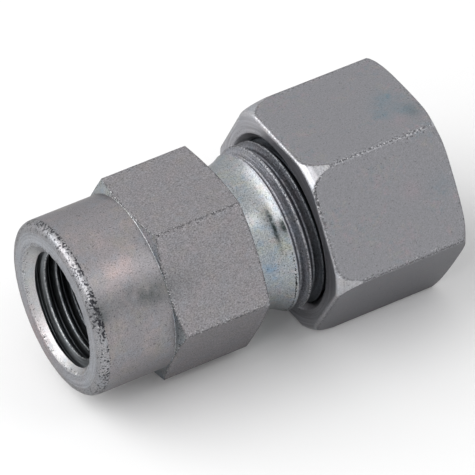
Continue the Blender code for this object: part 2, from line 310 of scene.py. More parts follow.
@dataclass(frozen=True)
class Thread:
    """A right-hand thread with rounded crests and roots, in millimetres and degrees."""

    crest: float                # radius of an outside thread's crests or an inside thread's grooves
    depth: float
    pitch: float
    flank: float                # half of the angle between the flanks
    crest_flat: float
    phase: float                # place of a crest on the side that faces +Y
    rubbed_corner: int = 0      # of the tooth's four corners, from the crest's first one on
    crest_round: float = 0.05
    root_round: float = 0.12
    corner_points: int = 4
    flank_points: int = 5       # between a crest's rounding and a root's

    @property
    def root(self) -> float:
        """The radius that the flanks lead down to."""
        return self.crest - self.depth

    def tooth(self) -> list[tuple[float, float, float]]:
        """Draws one tooth, from its crest on.

        Returns:
            Its points as (offset, radius, wear).
        """
        half_crest = self.crest_flat / 2.0
        foot = half_crest + self.depth * tangent(self.flank)
        corners = [Vector(corner) for corner in (
            (-half_crest, self.crest), (half_crest, self.crest), (foot, self.root),
            (self.pitch - foot, self.root))]
        lap = Vector((self.pitch, 0.0))
        around = [corners[-1] - lap, *corners, corners[0] + lap]
        points = []
        for index, (before, here, after) in enumerate(zip(around, around[1:], around[2:])):
            reach = self.crest_round if index < 2 else self.root_round
            worn = 1.0 if index == self.rubbed_corner else 0.0
            first = here + (before - here).normalized() * reach
            last = here + (after - here).normalized() * reach
            for step in range(self.corner_points):
                point = bend(first, here, last, step / (self.corner_points - 1))
                points.append((point.x, point.y, worn))
            # more points down each flank, so that it meets a flare or a chamfer where it should
            for step in range(self.flank_points if index % 2 else 0):
                point = here.lerp(after, (step + 1.0) / (self.flank_points + 1.0))
                points.append((point.x, point.y, 0.0))
        return points

    def first_lap(self, start: float) -> int:
        """Returns the lap before the one in which a run's start can lie."""
        return math.floor((start - self.phase) / self.pitch) - 2

    def run(self, start: float, end: float, angles: np.ndarray, low: Sequence[tuple[float, float]],
            high: Sequence[tuple[float, float]]) -> tuple[np.ndarray, np.ndarray]:
        """Draws the thread between two places in every column.

        Each point is kept between the outlines low and high. Points that fall outside the two
        places gather on them, so that each column has as many points and meets the next one.

        Args:
            start: The place where the thread starts.
            end: The place where it ends.
            angles: The columns' angles in degrees.
            low: Outline that the surface never sinks below.
            high: Outline that it never rises above.

        Returns:
            The points, columns by points by (place, radius), and their wear.
        """
        offset, radius, wear = np.array(self.tooth()).T
        laps = np.arange(self.first_lap(start), math.ceil((end - self.phase) / self.pitch) + 2)
        turns = angles / 360.0
        place = self.phase + (laps[None, :, None] + turns[:, None, None]) * self.pitch + offset
        place = np.clip(place.reshape(len(angles), -1), start, end)
        radii = np.broadcast_to(np.tile(radius, len(laps)), place.shape)
        above = np.interp(place, *np.array(high).T)
        below = np.interp(place, *np.array(low).T)
        points = np.stack([place, np.maximum(below, np.minimum(above, radii))], axis=2)
        return points, np.broadcast_to(np.tile(wear, len(laps)), place.shape)

    def tapped(self, start: float, end: float, angles: np.ndarray) -> tuple[np.ndarray, np.ndarray]:
        """Draws an inside thread that starts in a 45 degree countersink and runs out over its last turn.

        Args:
            start: The place where the countersink reaches the grooves' radius.
            end: The place where the thread has run out.
            angles: The columns' angles in degrees.

        Returns:
            The points, from the run-out to the countersink, and their wear.
        """
        low = [(start, self.crest), (start + self.depth, self.root), (end, self.root)]
        high = [(start, self.crest), (end - self.pitch, self.crest), (end, self.root)]
        points, worn = self.run(start, end, angles, low, high)
        return points[:, ::-1], worn[:, ::-1]


def bend(first: Vector, corner: Vector, last: Vector, share: float) -> Vector:
    """Returns the point at a share of the way round a bent corner, from first to last."""
    return first * (1.0 - share) ** 2 + corner * 2.0 * share * (1.0 - share) + last * share ** 2


def fade(distance: np.ndarray, width: float) -> np.ndarray:
    """Returns how much of an edge's wear is left at a distance from it, from 1 down to 0."""
    return np.exp(-(distance / width) ** 2)


class Skin:
    """A closed skin made of stretches, each of which has its points in every column."""

    def __init__(self, angles: np.ndarray, patches: Sequence[Patch] = ()) -> None:
        """Starts a skin.

        Args:
            angles: The columns' angles in degrees, over one full turn.
            patches: The patches of colour on it.
        """
        self.angles = angles
        self.patches = patches
        self.points: list[np.ndarray] = []
        self.wear: dict[str, list[np.ndarray]] = {wear: [] for wear in (WORN, SCUFFED, OIL_AND_SHADE)}
        self.surfaces: list[np.ndarray] = []

    def add(self, points: np.ndarray, worn: Values, surface: Surface | np.ndarray, scuffed: Values = 0.0,
            oiled_and_shaded: Values = 0.0) -> None:
        """Adds a stretch of points.

        Args:
            points: Columns by points by (place, radius).
            worn: How pitted each point is, from 0 to 1.
            surface: The kind of surface that leads to the points, or one kind for each of them.
            scuffed: How dark an edge's line is at each point, from 0 to 1.
            oiled_and_shaded: How dark each point is with oil and painted shade, from 0 to 1.
        """
        self.points.append(points)
        ones = np.ones(points.shape[:2])
        for wear, spread in ((WORN, worn), (SCUFFED, scuffed), (OIL_AND_SHADE, oiled_and_shaded)):
            self.wear[wear].append(ones * spread)
        self.surfaces.append(np.broadcast_to(surface, points.shape[:2]))

    def draw(self, outline: Outline) -> None:
        """Adds an outline, with the edges between its sides rounded.

        Args:
            outline: The outline.
        """
        for index, side in enumerate(outline.sides):
            before = outline.sides[index - 1] if index else None
            after = outline.sides[index + 1] if index + 1 < len(outline.sides) else None
            spaced, places, whole = side.trimmed(
                before.round_off if before else 0.0, side.round_off if after else 0.0)
            worn = side.worn[:, None] * fade(whole - places, WORN_WIDTH)
            scuffed = side.scuffed[:, None] * fade(whole - places, SCUFF_WIDTH)
            if before:
                worn = np.maximum(worn, before.worn[:, None] * fade(places, WORN_WIDTH))
                scuffed = np.maximum(scuffed, before.scuffed[:, None] * fade(places, SCUFF_WIDTH))
            gap = side.corner_gap[:, None]
            worn = np.maximum(worn, CORNER_WEAR * fade(gap, WORN_WIDTH))
            self.add(spaced, worn, side.surface, np.maximum(scuffed, fade(gap, SCUFF_WIDTH)))
            if after and side.round_off:
                self.round_edge(side, after)

    def round_edge(self, side: Side, after: Side) -> None:
        """Adds the rounded edge between two sides.

        Args:
            side: The side before the edge, already added.
            after: The side after it.
        """
        corner = side.points[:, -1]
        start = self.points[-1][:, -1]
        end = after.trimmed(side.round_off, 0.0)[0][:, 0]
        steps = max(ROUND_STEPS, round(side.round_off / ROUND_FACET))
        for step in range(1, steps):
            share = step / steps
            point = bend(start, corner, end, share)
            surface = after.surface if side.edge is side.surface and share > 0.5 else side.edge
            # tumbling pits an edge's far side more than its near side
            worn = side.worn[:, None] * (NEAR_PITS + (1.0 - NEAR_PITS) * share)
            self.add(point[:, None, :], worn, surface, side.scuffed[:, None])

    def mesh(self, name: str, origin: Vector) -> bpy.types.Mesh:
        """Joins the columns into one closed mesh.

        Args:
            name: The mesh's name.
            origin: Where the shoulder lies on the coupler's axis, in metres.

        Returns:
            The mesh, smooth but for its sharp edges, with its wear, its painted shade and its colours as
            point attributes.
        """
        outline = np.concatenate(self.points, axis=1)
        place, radius = outline[..., 0], outline[..., 1]
        angles = self.angles[:, None]
        turn = np.radians(angles)
        points = np.stack([place, radius * np.cos(turn), radius * np.sin(turn)], axis=2) * MM
        points = (points + np.array(origin)).reshape(-1, 3)
        index = np.arange(place.size).reshape(place.shape)
        onward = np.roll(index, -1, axis=1)
        faces = np.stack([index[:-1], onward[:-1], onward[1:], index[1:]], axis=2).reshape(-1, 4)
        mesh = bpy.data.meshes.new(name)
        mesh.from_pydata(points, [], faces)
        surfaces = np.concatenate(self.surfaces, axis=1)
        slots = np.roll(surfaces, -1, axis=1)[:-1].astype(np.int32)
        mesh.polygons.foreach_set("material_index", slots.ravel())
        values = {wear: np.concatenate(stretches, axis=1) for wear, stretches in self.wear.items()}
        outside = ~np.isin(surfaces, INSIDE)
        for tint in Tint:
            covers = [patch.cover(place, angles) for patch in self.patches if patch.tint is tint]
            values[tint.value] = outside * sum(covers, np.zeros(place.shape))
        for attribute, spread in values.items():
            data = mesh.attributes.new(attribute, "FLOAT", "POINT").data
            data.foreach_set("value", spread.astype(np.float32).ravel())
        shape = bmesh.new()
        shape.from_mesh(mesh)
        bmesh.ops.remove_doubles(shape, verts=shape.verts, dist=WELD)
        bmesh.ops.recalc_face_normals(shape, faces=shape.faces)
        odd = sum(1 for edge in shape.edges if len(edge.link_faces) != 2)
        shape.to_mesh(mesh)
        shape.free()
        mesh.shade_smooth()
        mesh.set_sharp_from_angle(angle=SHARP_ANGLE)
        log.info("%s: %d faces, %d edges that don't close", name, len(mesh.polygons), odd)
        return mesh


MIX_FACTOR, MIX_A, MIX_B = 0, 6, 7              # a Mix node's inputs when it mixes colours
MIXED = {"output": 2, "data_type": "RGBA"}
SOFT_STEP = {"interpolation_type": "SMOOTHSTEP"}
BROAD = 0.2                     # scale of the noise that gathers clouds or pits, against their own
BANK_EDGE = 0.06                # half of the levels over which a bank of clouds fades in
CLOUD_LEVELS = {"From Min": 0.48, "From Max": 0.70}
BLOTCH_LEVELS = {"From Min": 0.30, "From Max": 0.65, "To Min": 0.2}
PIT_BANK_LEVELS = {"From Min": 0.30, "From Max": 0.70}
PIT_EDGE = 0.08                 # levels over which a pit reaches its depth
PIT_DARKNESS = 0.55             # how much darker than a speck a pit is on a worn edge
BROKEN_LEVELS = {"From Min": 0.36, "From Max": 0.52}
DASH_EDGE = 0.10                # levels over which a bright dash reaches its strength
DASH_STRENGTH = 0.7
APART = 0.1                     # metres between cloud patterns, so that they don't coincide
DASHES_APART = (0.9, 0.9, 0.9)  # metres from the pits' pattern to the dashes'
RING_SLANT = 0.6                # how fast the rings follow the axis, against the radius
RING_DRIFT = (0.03, 0.03, 0.03)         # how fast they change round it
GLOSS_SPREAD = 0.08             # how far the grain moves the roughness
GLANCING_TINT = (0.6, 0.6, 0.6, 1.0)


def add(tree: bpy.types.NodeTree, kind: str, inputs: Mapping[str | int, object] | None = None,
        output: str | int = 0, **settings: object) -> bpy.types.NodeSocket:
    """Adds a node with its settings and links.

    Args:
        tree: The node tree of a material or of the world.
        kind: The node's type, without the words ShaderNode.
        inputs: Sockets by name or number, each with its value or with the socket that feeds it.
        output: The output that is wanted.
        settings: Properties to set on the node.

    Returns:
        The wanted output.
    """
    node = tree.nodes.new("ShaderNode" + kind)
    for key, value in settings.items():
        setattr(node, key, value)
    for key, value in (inputs or {}).items():
        if isinstance(value, bpy.types.NodeSocket):
            tree.links.new(value, node.inputs[key])
        else:
            node.inputs[key].default_value = value
    return node.outputs[output]


@dataclass(frozen=True)
class ZincPlate:
    """Electroplated zinc with a clear blue passivate on steel.

    It is a grey metal with a soft gloss and a fine sandy grain. The passivate is thin enough to
    give faint pink, straw and blue clouds. Tumbling has left dark pits round the exposed rims,
    and dark broken lines with bright dashes along the sharp edges. Its film and oil colours also
    paint shade: dark reflections, the nut's shadow on the stub and the darkening deep in the port.
    Its pink also paints part of a highlight.
    """

    name: str
    colour: str = "#8F8F93"
    metallic: float = 1.0       # below 1 where the passivate is thick enough to look cloudy
    roughness: float = 0.42
    grain: float = 0.18         # mm, the plate's crystals, drawn coarse enough to show
    grain_stretch: float = 1.0  # how much longer a grain is along the axis
    grain_shade: float = 0.60   # how far the grain darkens and lightens the colour
    grain_depth: float = 0.006  # mm
    specks: float = 0.3         # how dark the scattered specks are
    speck_level: float = 0.66   # level of the noise from which there is a speck
    clouds: float = 1.6         # mm across
    clouded_from: float = 0.0   # level of a broad noise from which there are clouds
    tinge: float = 0.25         # how strong the coloured clouds are
    rings: float = 0.0          # strength of the lathe's marks round the axis
    ring_pitch: float = 0.14    # mm, the lathe's feed, drawn coarse enough to show
    pit_size: float = 0.26      # mm
    pit_cover: float = 0.20     # how much of a worn edge the pits take
    pit_banks: float = 0.0      # how far they gather in banks
    edge_wear: float = 0.9
    bare_from: float = 0.58     # level of the noise from which a rubbed edge shines
    scuff: float = 0.75         # how dark the broken line along a sharp edge is
    # pale pink passivate, and the colour of a patch that paints part of a highlight
    pink_and_highlight: str = "#A98E8C"
    straw: str = "#A49C82"
    blue: str = "#7C97A8"
    # colour of oil film, and of the dark reflections painted in its patches
    film_and_painted_shade: str = "#54595A"
    # colour of oil, and of the painted shade in recesses and under the nut
    oil_and_shade_colour: str = "#17181B"
    pit_colour: str = "#2E2E30"
    rubbed_colour: str = "#E4E4E6"

    def plate(self, tree: bpy.types.NodeTree, where: bpy.types.NodeSocket) -> bpy.types.NodeSocket:
        """Colours the open plate.

        Args:
            tree: The material's node tree.
            where: The place on the piece.

        Returns:
            The plate's colour.
        """
        colour: object = linear(self.colour)
        broad = add(tree, "TexNoise", {"Vector": where, "Scale": BROAD / (self.clouds * MM), "Detail": 1.0})
        bank = add(tree, "MapRange", {
            "Value": broad, "From Min": self.clouded_from - BANK_EDGE,
            "From Max": self.clouded_from + BANK_EDGE, "To Max": self.tinge}, **SOFT_STEP)
        shades = (self.pink_and_highlight, self.straw, self.blue, self.film_and_painted_shade)
        for number, (tint, shade) in enumerate(zip(Tint, shades), 1):
            place = add(tree, "Mapping", {"Vector": where, "Location": (APART * number, 0.0, 0.0)})
            cloud = add(tree, "TexNoise", {
                "Vector": place, "Scale": 1.0 / (self.clouds * MM), "Detail": 4.0, "Roughness": 0.65})
            cover = add(tree, "MapRange", {"Value": cloud, **CLOUD_LEVELS}, **SOFT_STEP)
            # the oil film and the painted dark reflections lie in their patches only
            strength = 0.0 if tint is Tint.FILM_AND_PAINTED_SHADE else bank
            cover = add(tree, "Math", {0: cover, 1: strength}, operation="MULTIPLY")
            blotchy = add(tree, "MapRange", {"Value": cloud, **BLOTCH_LEVELS})
            # the patches of tint, oil film, painted dark reflection and painted highlight come from the
            # points' attributes
            tint_and_painted_light = add(tree, "Attribute", output="Fac", attribute_name=tint.value)
            cover = add(tree, "Math", {0: tint_and_painted_light, 1: blotchy, 2: cover},
                operation="MULTIPLY_ADD", use_clamp=True)
            colour = add(tree, "Mix", {MIX_FACTOR: cover, MIX_A: colour, MIX_B: linear(shade)}, **MIXED)
        return colour

    def wear(self, tree: bpy.types.NodeTree, where: bpy.types.NodeSocket) -> tuple[
            bpy.types.NodeSocket, bpy.types.NodeSocket]:
        """Works out where the plate is pitted and where it is rubbed bright.

        Args:
            tree: The material's node tree.
            where: The place on the piece.

        Returns:
            How dark the pits are and how bright the rubbed dashes are, each from 0 to 1.
        """
        worn, scuffed = [
            add(tree, "Attribute", output="Fac", attribute_name=wear) for wear in (WORN, SCUFFED)]
        scale = 1.0 / (self.pit_size * MM)
        spots = add(tree, "TexNoise", {"Vector": where, "Scale": scale, "Detail": 1.5})
        broad = add(tree, "TexNoise", {"Vector": where, "Scale": BROAD * scale, "Detail": 1.0})
        easier = add(tree, "MapRange", {
            "Value": broad, **PIT_BANK_LEVELS, "To Min": self.pit_cover - self.pit_banks,
            "To Max": self.pit_cover + self.pit_banks})
        # wear lowers the level at which the noise turns into a pit
        level = add(tree, "Math", {0: worn, 1: easier, 2: spots}, operation="MULTIPLY_ADD")
        pitted = add(tree, "MapRange", {
            "Value": level, "From Min": self.speck_level, "From Max": self.speck_level + PIT_EDGE},
            **SOFT_STEP)
        depth = add(tree, "Math", {0: worn, 1: PIT_DARKNESS * self.edge_wear, 2: self.specks},
            operation="MULTIPLY_ADD")
        pit = add(tree, "Math", {0: pitted, 1: depth}, operation="MULTIPLY")
        broken = add(tree, "MapRange", {"Value": spots, **BROKEN_LEVELS, "To Max": self.scuff}, **SOFT_STEP)
        line = add(tree, "Math", {0: broken, 1: scuffed}, operation="MULTIPLY")
        dark = add(tree, "Math", {0: pit, 1: line}, operation="MAXIMUM")
        apart = add(tree, "Mapping", {"Vector": where, "Location": DASHES_APART})
        dashes = add(tree, "TexNoise", {"Vector": apart, "Scale": scale, "Detail": 1.0})
        bare = add(tree, "MapRange", {
            "Value": dashes, "From Min": self.bare_from, "From Max": self.bare_from + DASH_EDGE,
            "To Max": DASH_STRENGTH * self.edge_wear}, **SOFT_STEP)
        edge = add(tree, "Math", {0: worn, 1: scuffed}, operation="MAXIMUM")
        return dark, add(tree, "Math", {0: bare, 1: edge}, operation="MULTIPLY")

    def material(self, axis_height: float) -> bpy.types.Material:
        """Makes the finish's material.

        Args:
            axis_height: How high the axis lies that the lathe's marks go round, in metres.

        Returns:
            The material.
        """
        made = bpy.data.materials.new(self.name)
        made.use_nodes = True
        tree = made.node_tree
        shader = tree.nodes["Principled BSDF"]
        shader.inputs["Metallic"].default_value = self.metallic
        # fine roughness keeps plated steel from brightening at a glancing view, as bare polish would
        shader.inputs["Specular Tint"].default_value = GLANCING_TINT
        where = add(tree, "TexCoord", output="Object")
        drawn = add(tree, "Mapping", {"Vector": where, "Scale": (1.0 / self.grain_stretch, 1.0, 1.0)})
        grain = add(tree, "TexNoise", {
            "Vector": drawn, "Scale": 1.0 / (self.grain * MM), "Detail": 2.0, "Roughness": 0.7})
        # the lathe's marks follow the axis on a cylinder and the radius on a face, and drift a little
        across = add(tree, "Mapping", {
            "Vector": where, "Location": (0.0, 0.0, -axis_height), "Scale": (0.0, 1.0, 1.0)})
        radius = add(tree, "VectorMath", {0: across}, "Value", operation="LENGTH")
        along = add(tree, "SeparateXYZ", {"Vector": where}, "X")
        feed = add(tree, "Math", {0: along, 1: RING_SLANT, 2: radius}, operation="MULTIPLY_ADD")
        drift = add(tree, "VectorMath", {0: across, 1: RING_DRIFT}, operation="MULTIPLY")
        feed = add(tree, "CombineXYZ", {"X": feed})
        around = add(tree, "VectorMath", {0: drift, 1: feed}, operation="ADD")
        scale = 1.0 / (self.ring_pitch * MM)
        ring = add(tree, "TexNoise", {"Vector": around, "Scale": scale, "Detail": 2.0})
        parts = [
            add(tree, "MapRange", {"Value": noise, "To Min": -0.5 * shade, "To Max": 0.5 * shade})
            for noise, shade in ((grain, self.grain_shade), (ring, self.rings))]
        texture = add(tree, "Math", dict(enumerate(parts)), operation="ADD")
        dark, bare = self.wear(tree, where)
        oiled_and_shaded = add(tree, "Attribute", output="Fac", attribute_name=OIL_AND_SHADE)
        colour = self.plate(tree, where)
        # oil and painted shade darken the colour last, as the points' attribute says
        for cover, shade in ((dark, self.pit_colour), (bare, self.rubbed_colour), (oiled_and_shaded, self.oil_and_shade_colour)):
            colour = add(tree, "Mix", {MIX_FACTOR: cover, MIX_A: colour, MIX_B: linear(shade)}, **MIXED)
        brightness = add(tree, "Math", {0: texture, 1: 1.0}, operation="ADD")
        colour = add(tree, "Mix", {MIX_FACTOR: 1.0, MIX_A: colour, MIX_B: brightness},
            **MIXED, blend_type="MULTIPLY")
        height = add(tree, "Math", {0: texture, 1: dark}, operation="SUBTRACT")
        bump = add(tree, "Bump", {"Height": height, "Strength": 1.0, "Distance": self.grain_depth * MM})
        gloss = add(tree, "MapRange", {
            "Value": grain, "To Min": self.roughness - GLOSS_SPREAD,
            "To Max": self.roughness + GLOSS_SPREAD})
        for value, name in ((colour, "Base Color"), (gloss, "Roughness"), (bump, "Normal")):
            tree.links.new(value, shader.inputs[name])
        return made


@dataclass(frozen=True)
class TubeEnd:
    """Sizes that the body, the nut and the ring share, in millimetres, and where the frame has them."""

    stub_length: float = 11.0
    thread_diameter: float = 18.0
    thread_pitch: float = 1.5
    thread_flank: float = 30.0
    body_thread_depth: float = 0.92
    nut_thread_depth: float = 0.812
    thread_play: float = 0.13
    thread_phase: float = 0.42
    cone_mouth: float = 14.3
    cone_half_angle: float = 12.0
    tube_diameter: float = 12.0
    tube_clearance: float = 0.2
    nut_bore_depth: float = 10.0

    @property
    def origin(self) -> Vector:
        """The shoulder's place on the axis, in metres, from the frame's own boxes."""
        nut_low, nut_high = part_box("union_nut")
        body_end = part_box("coupler_body")[1]
        return Vector((body_end.x - self.stub_length * MM, 0.0, (nut_low.z + nut_high.z) / 2.0))

    def place(self, node: str, corner: int) -> float:
        """Returns where a node's lowest (0) or highest (1) corner lies along the axis, in millimetres."""
        return (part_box(node)[corner].x - self.origin.x) / MM

    @property
    def tube_hole(self) -> float:
        """Radius of each hole that the tube passes."""
        return (self.tube_diameter + self.tube_clearance) / 2.0

    def thread(self, crest: float, depth: float) -> Thread:
        """Returns the tube end's thread with a crest radius and a depth of its own."""
        crest_flat = self.thread_pitch / 8.0
        return Thread(crest, depth, self.thread_pitch, self.thread_flank, crest_flat, self.thread_phase)

    @property
    def body_thread(self) -> Thread:
        """The stub's outside thread."""
        return self.thread((self.thread_diameter - self.thread_play) / 2.0, self.body_thread_depth)

    @property
    def nut_thread(self) -> Thread:
        """The nut's inside thread."""
        return self.thread((self.thread_diameter + self.thread_play) / 2.0, self.nut_thread_depth)

    @property
    def nut_shoulder(self) -> float:
        """Place where the nut's 45 degree shoulder starts."""
        return self.place("union_nut", 0) + self.nut_bore_depth


@dataclass(frozen=True)
class CouplerBody:
    """The one-piece body: a barrel with the gauge port, a hexagon, a neck and the threaded stub."""

    tube_end: TubeEnd
    bar: HexagonBar = HexagonBar(across_flats=19.0, corner_round=0.25, turn=-1.9, flat_steps=24)
    barrel_diameter: float = 18.9
    rim_round: float = 1.15
    hexagon_length: float = 10.5
    port_chamfer: float = 16.0      # degrees off the hexagon's end face
    neck_chamfer: float = 12.0
    port_mouth: float = 14.0
    mouth_raggedness: float = 0.09  # how far the countersink's edge wanders
    mouth_seed: int = 14
    mouth_chip: float = 0.20        # depth of the chip in it
    mouth_chip_angle: float = 289.0
    mouth_chip_width: float = 4.0   # degrees
    dark_rim: float = 146.0         # angle at which the port's rim is pitted most
    dark_rim_width: float = 13.0    # degrees
    dark_rim_wear: float = 0.35     # how much more it is pitted there
    port_thread_diameter: float = 13.157
    port_thread_depth: float = 0.856
    port_thread_pitch: float = 1.337
    port_thread_flank: float = 27.5
    port_depth: float = 13.0
    port_thread_run: float = 11.0
    drill_point: float = 59.0
    bore_diameter: float = 4.0
    neck_diameter: float = 15.8
    neck_length: float = 2.9
    neck_root_round: float = 1.0
    neck_flare: float = 30.0        # degrees off the axis
    whole_flare: float = 17.1       # diameter up to which the thread leaves the flare whole
    thread_run_in: float = 0.4      # how far the first groove takes to reach its depth
    flare_points: int = 16
    socket_depth: float = 7.0
    # oil and the nut's painted shadow on the stub's thread, darker towards the nut, as (place, how dark it
    # is from 0 to 1)
    oil_film_and_painted_shade: tuple[tuple[float, float], ...] = ((4.5, 0.0), (5.2, 0.30), (6.4, 0.45), (7.0, 0.85))
    port_shade_depth: float = 3.4         # how deep into the port the thread stays free of painted shade
    port_unshaded: float = 0.80        # how free of painted shade its crests are where it starts
    groove_shade_and_oil: float = 0.85        # how much more painted shade its grooves get

    @property
    def port_face(self) -> float:
        """The port's face, as a place along the axis."""
        return self.tube_end.place("coupler_body", 0)

    def port_thread(self) -> Thread:
        """Returns the gauge port's G1/4 thread."""
        crest_flat = self.port_thread_pitch / 2.0 - self.port_thread_depth * tangent(self.port_thread_flank)
        return Thread(
            self.port_thread_diameter / 2.0, self.port_thread_depth, self.port_thread_pitch,
            self.port_thread_flank, crest_flat, self.port_face, rubbed_corner=2, root_round=0.10)

    def ragged_mouth(self, angles: np.ndarray) -> np.ndarray:
        """Draws the countersink's edge at the face, which tumbling has made ragged and chipped.

        Args:
            angles: The columns' angles in degrees.

        Returns:
            The edge's radius in each column.
        """
        random = np.random.default_rng(self.mouth_seed)
        wander = random.uniform(-1.0, 1.0, len(angles)) * self.mouth_raggedness
        wander[-1] = wander[0]
        chip = self.mouth_chip * fade(off_angle(angles, self.mouth_chip_angle), self.mouth_chip_width)
        return self.port_mouth / 2.0 + wander + chip

    def rim_wear(self, angles: np.ndarray) -> np.ndarray:
        """Returns how pitted the barrel's rim is, a little more so round one dark smudge."""
        return 1.0 + self.dark_rim_wear * fade(off_angle(angles, self.dark_rim), self.dark_rim_width)

    def flare(self, first: float, last: float) -> np.ndarray:
        """Draws the flare, a parabola that leaves the neck level and ends at the flare's own angle.

        Args:
            first: Share of the flare's run at which to start.
            last: Share at which to end, 1 where the thread starts to cut into it.

        Returns:
            Its points as (place, radius).
        """
        neck = self.neck_diameter / 2.0
        rise = self.whole_flare / 2.0 - neck
        slope = tangent(self.neck_flare)
        share = np.linspace(first, last, self.flare_points)
        place = self.neck_length + rise / slope - 2.0 * rise / slope * (1.0 - share)
        return np.stack([place, neck + rise * share ** 2], axis=1)

    def root_share(self) -> float:
        """Returns the share of the flare's run at which it reaches the radius of the thread's root."""
        neck = self.neck_diameter / 2.0
        return math.sqrt((self.tube_end.body_thread.root - neck) / (self.whole_flare / 2.0 - neck))

    def outside(self, angles: np.ndarray) -> Outline:
        """Draws the body from the port's countersink out over the barrel and hexagon to the neck's flare.

        Args:
            angles: The columns' angles in degrees.

        Returns:
            The outline.
        """
        face = self.port_face
        thread = self.port_thread()
        mouth = self.port_mouth / 2.0
        barrel = self.barrel_diameter / 2.0
        hexagon = self.bar.radius(angles)
        rise = hexagon - barrel
        neck = self.neck_diameter / 2.0
        start = -self.hexagon_length
        made = Outline(len(angles), face + mouth - thread.crest, thread.crest)
        made.line(face, self.ragged_mouth(angles), Surface.COUNTERSINK, steps=4, round_off=0.12, worn=0.6)
        made.line(
            face, barrel, Surface.FACE, steps=8, round_off=self.rim_round, edge=Surface.RIM,
            worn=self.rim_wear(angles))
        made.line(start, barrel, Surface.TURNED, steps=16, round_off=0.10, scuffed=0.6)
        made.line(
            start + rise * tangent(self.port_chamfer), hexagon, Surface.BRIGHT, steps=6, round_off=0.10,
            worn=0.4, scuffed=0.9)
        made.line(
            -rise * tangent(self.neck_chamfer), hexagon, Surface.FLAT, steps=22, round_off=0.10,
            worn=0.4, scuffed=0.9, corner_gap=self.bar.from_corner(angles))
        made.line(0.0, barrel, Surface.BRIGHT, steps=4, round_off=0.06)
        made.line(0.0, neck, Surface.BRIGHT, steps=4, round_off=self.neck_root_round)
        flare = self.flare(0.0, self.root_share())
        made.line(flare[0, 0], neck, Surface.BRIGHT, steps=8)
        made.curve(np.broadcast_to(flare[1:], (len(angles), len(flare) - 1, 2)), Surface.BRIGHT, steps=8)
        return made

    def add_stub(self, skin: Skin) -> None:
        """Adds the stub from the flare's foot to its chamfered end.

        Args:
            skin: The skin, so far drawn as far as the flare's foot.
        """
        angles = skin.angles
        thread = self.tube_end.body_thread
        length = self.tube_end.stub_length
        flare = self.flare(self.root_share(), 1.0)
        start = flare[0, 0]
        whole = flare[-1, 0]
        flare_end = whole + (thread.crest - self.whole_flare / 2.0) / tangent(self.neck_flare)
        end = (length, thread.root)
        high = [*flare, (flare_end, thread.crest), (length - thread.depth, thread.crest), end]
        low = [*flare, (whole + self.thread_run_in, thread.root), end]
        points, worn = thread.run(start, length, angles, low, high)
        place = points[..., 0]
        # the crests on the flare itself are no edges
        worn = np.where(place < whole, 0.0, worn)
        # oil and the nut's painted shadow darken the thread towards the nut
        oiled_and_shaded = np.interp(place, *np.array(self.oil_film_and_painted_shade).T)
        # the flare ends with the near crest of the first lap that the columns start in
        teeth = len(thread.tooth())
        split = (1 - thread.first_lap(start)) * teeth + 2 * thread.corner_points
        skin.add(points[:, :split], worn[:, :split], Surface.BRIGHT)
        skin.add(points[:, split:], worn[:, split:], Surface.THREAD, oiled_and_shaded=oiled_and_shaded[:, split:])

    def inside(self, angles: np.ndarray) -> Outline:
        """Draws the body from the stub's end face through the cone, socket and bore to the port's thread.

        Args:
            angles: The columns' angles in degrees.

        Returns:
            The outline.
        """
        end = self.tube_end
        length = end.stub_length
        mouth = end.cone_mouth / 2.0
        bore = self.bore_diameter / 2.0
        thread = self.port_thread()
        floor = self.port_face + self.port_depth
        drilled = floor + (thread.root - bore) / tangent(self.drill_point)
        made = Outline(len(angles), length, end.body_thread.root)
        made.line(length, mouth, Surface.TURNED, steps=4, round_off=0.08, worn=0.3)
        made.line(
            length - (mouth - end.tube_hole) / tangent(end.cone_half_angle), end.tube_hole, Surface.BRIGHT,
            steps=6, round_off=0.1)
        made.line(length - self.socket_depth, end.tube_hole, Surface.BORE, steps=4, round_off=0.05)
        made.line(length - self.socket_depth, bore, Surface.BORE, steps=4, round_off=0.1)
        made.line(drilled, bore, Surface.BORE, steps=8, round_off=0.1)
        made.line(floor, thread.root, Surface.BORE, steps=6, round_off=0.1)
        made.line(self.port_face + self.port_thread_run, thread.root, Surface.BORE, steps=3)
        return made

    def add_port(self, skin: Skin) -> None:
        """Adds the port's thread, from its run-out to the countersink.

        Args:
            skin: The skin, so far drawn as far as the run-out.
        """
        thread = self.port_thread()
        start = self.port_face + self.port_mouth / 2.0 - thread.crest
        points, worn = thread.tapped(start, self.port_face + self.port_thread_run, skin.angles)
        # painted shade, with oil, darkens the grooves and the whole thread further in, but not the
        # countersink
        groove = (points[..., 1] - thread.root) / thread.depth
        deep = points[..., 0] - start
        unshaded = self.port_unshaded * fade(deep, self.port_shade_depth) * (1.0 - self.groove_shade_and_oil * groove)
        countersink = (deep < thread.depth) & (points[..., 1] < thread.crest - deep + WELD / MM)
        oiled_and_shaded = np.where(countersink, 0.0, 1.0 - unshaded)
        worn = np.where(countersink, 0.0, worn)
        surface = np.where(countersink, Surface.COUNTERSINK, Surface.PORT)
        skin.add(points, worn, surface, oiled_and_shaded=oiled_and_shaded)

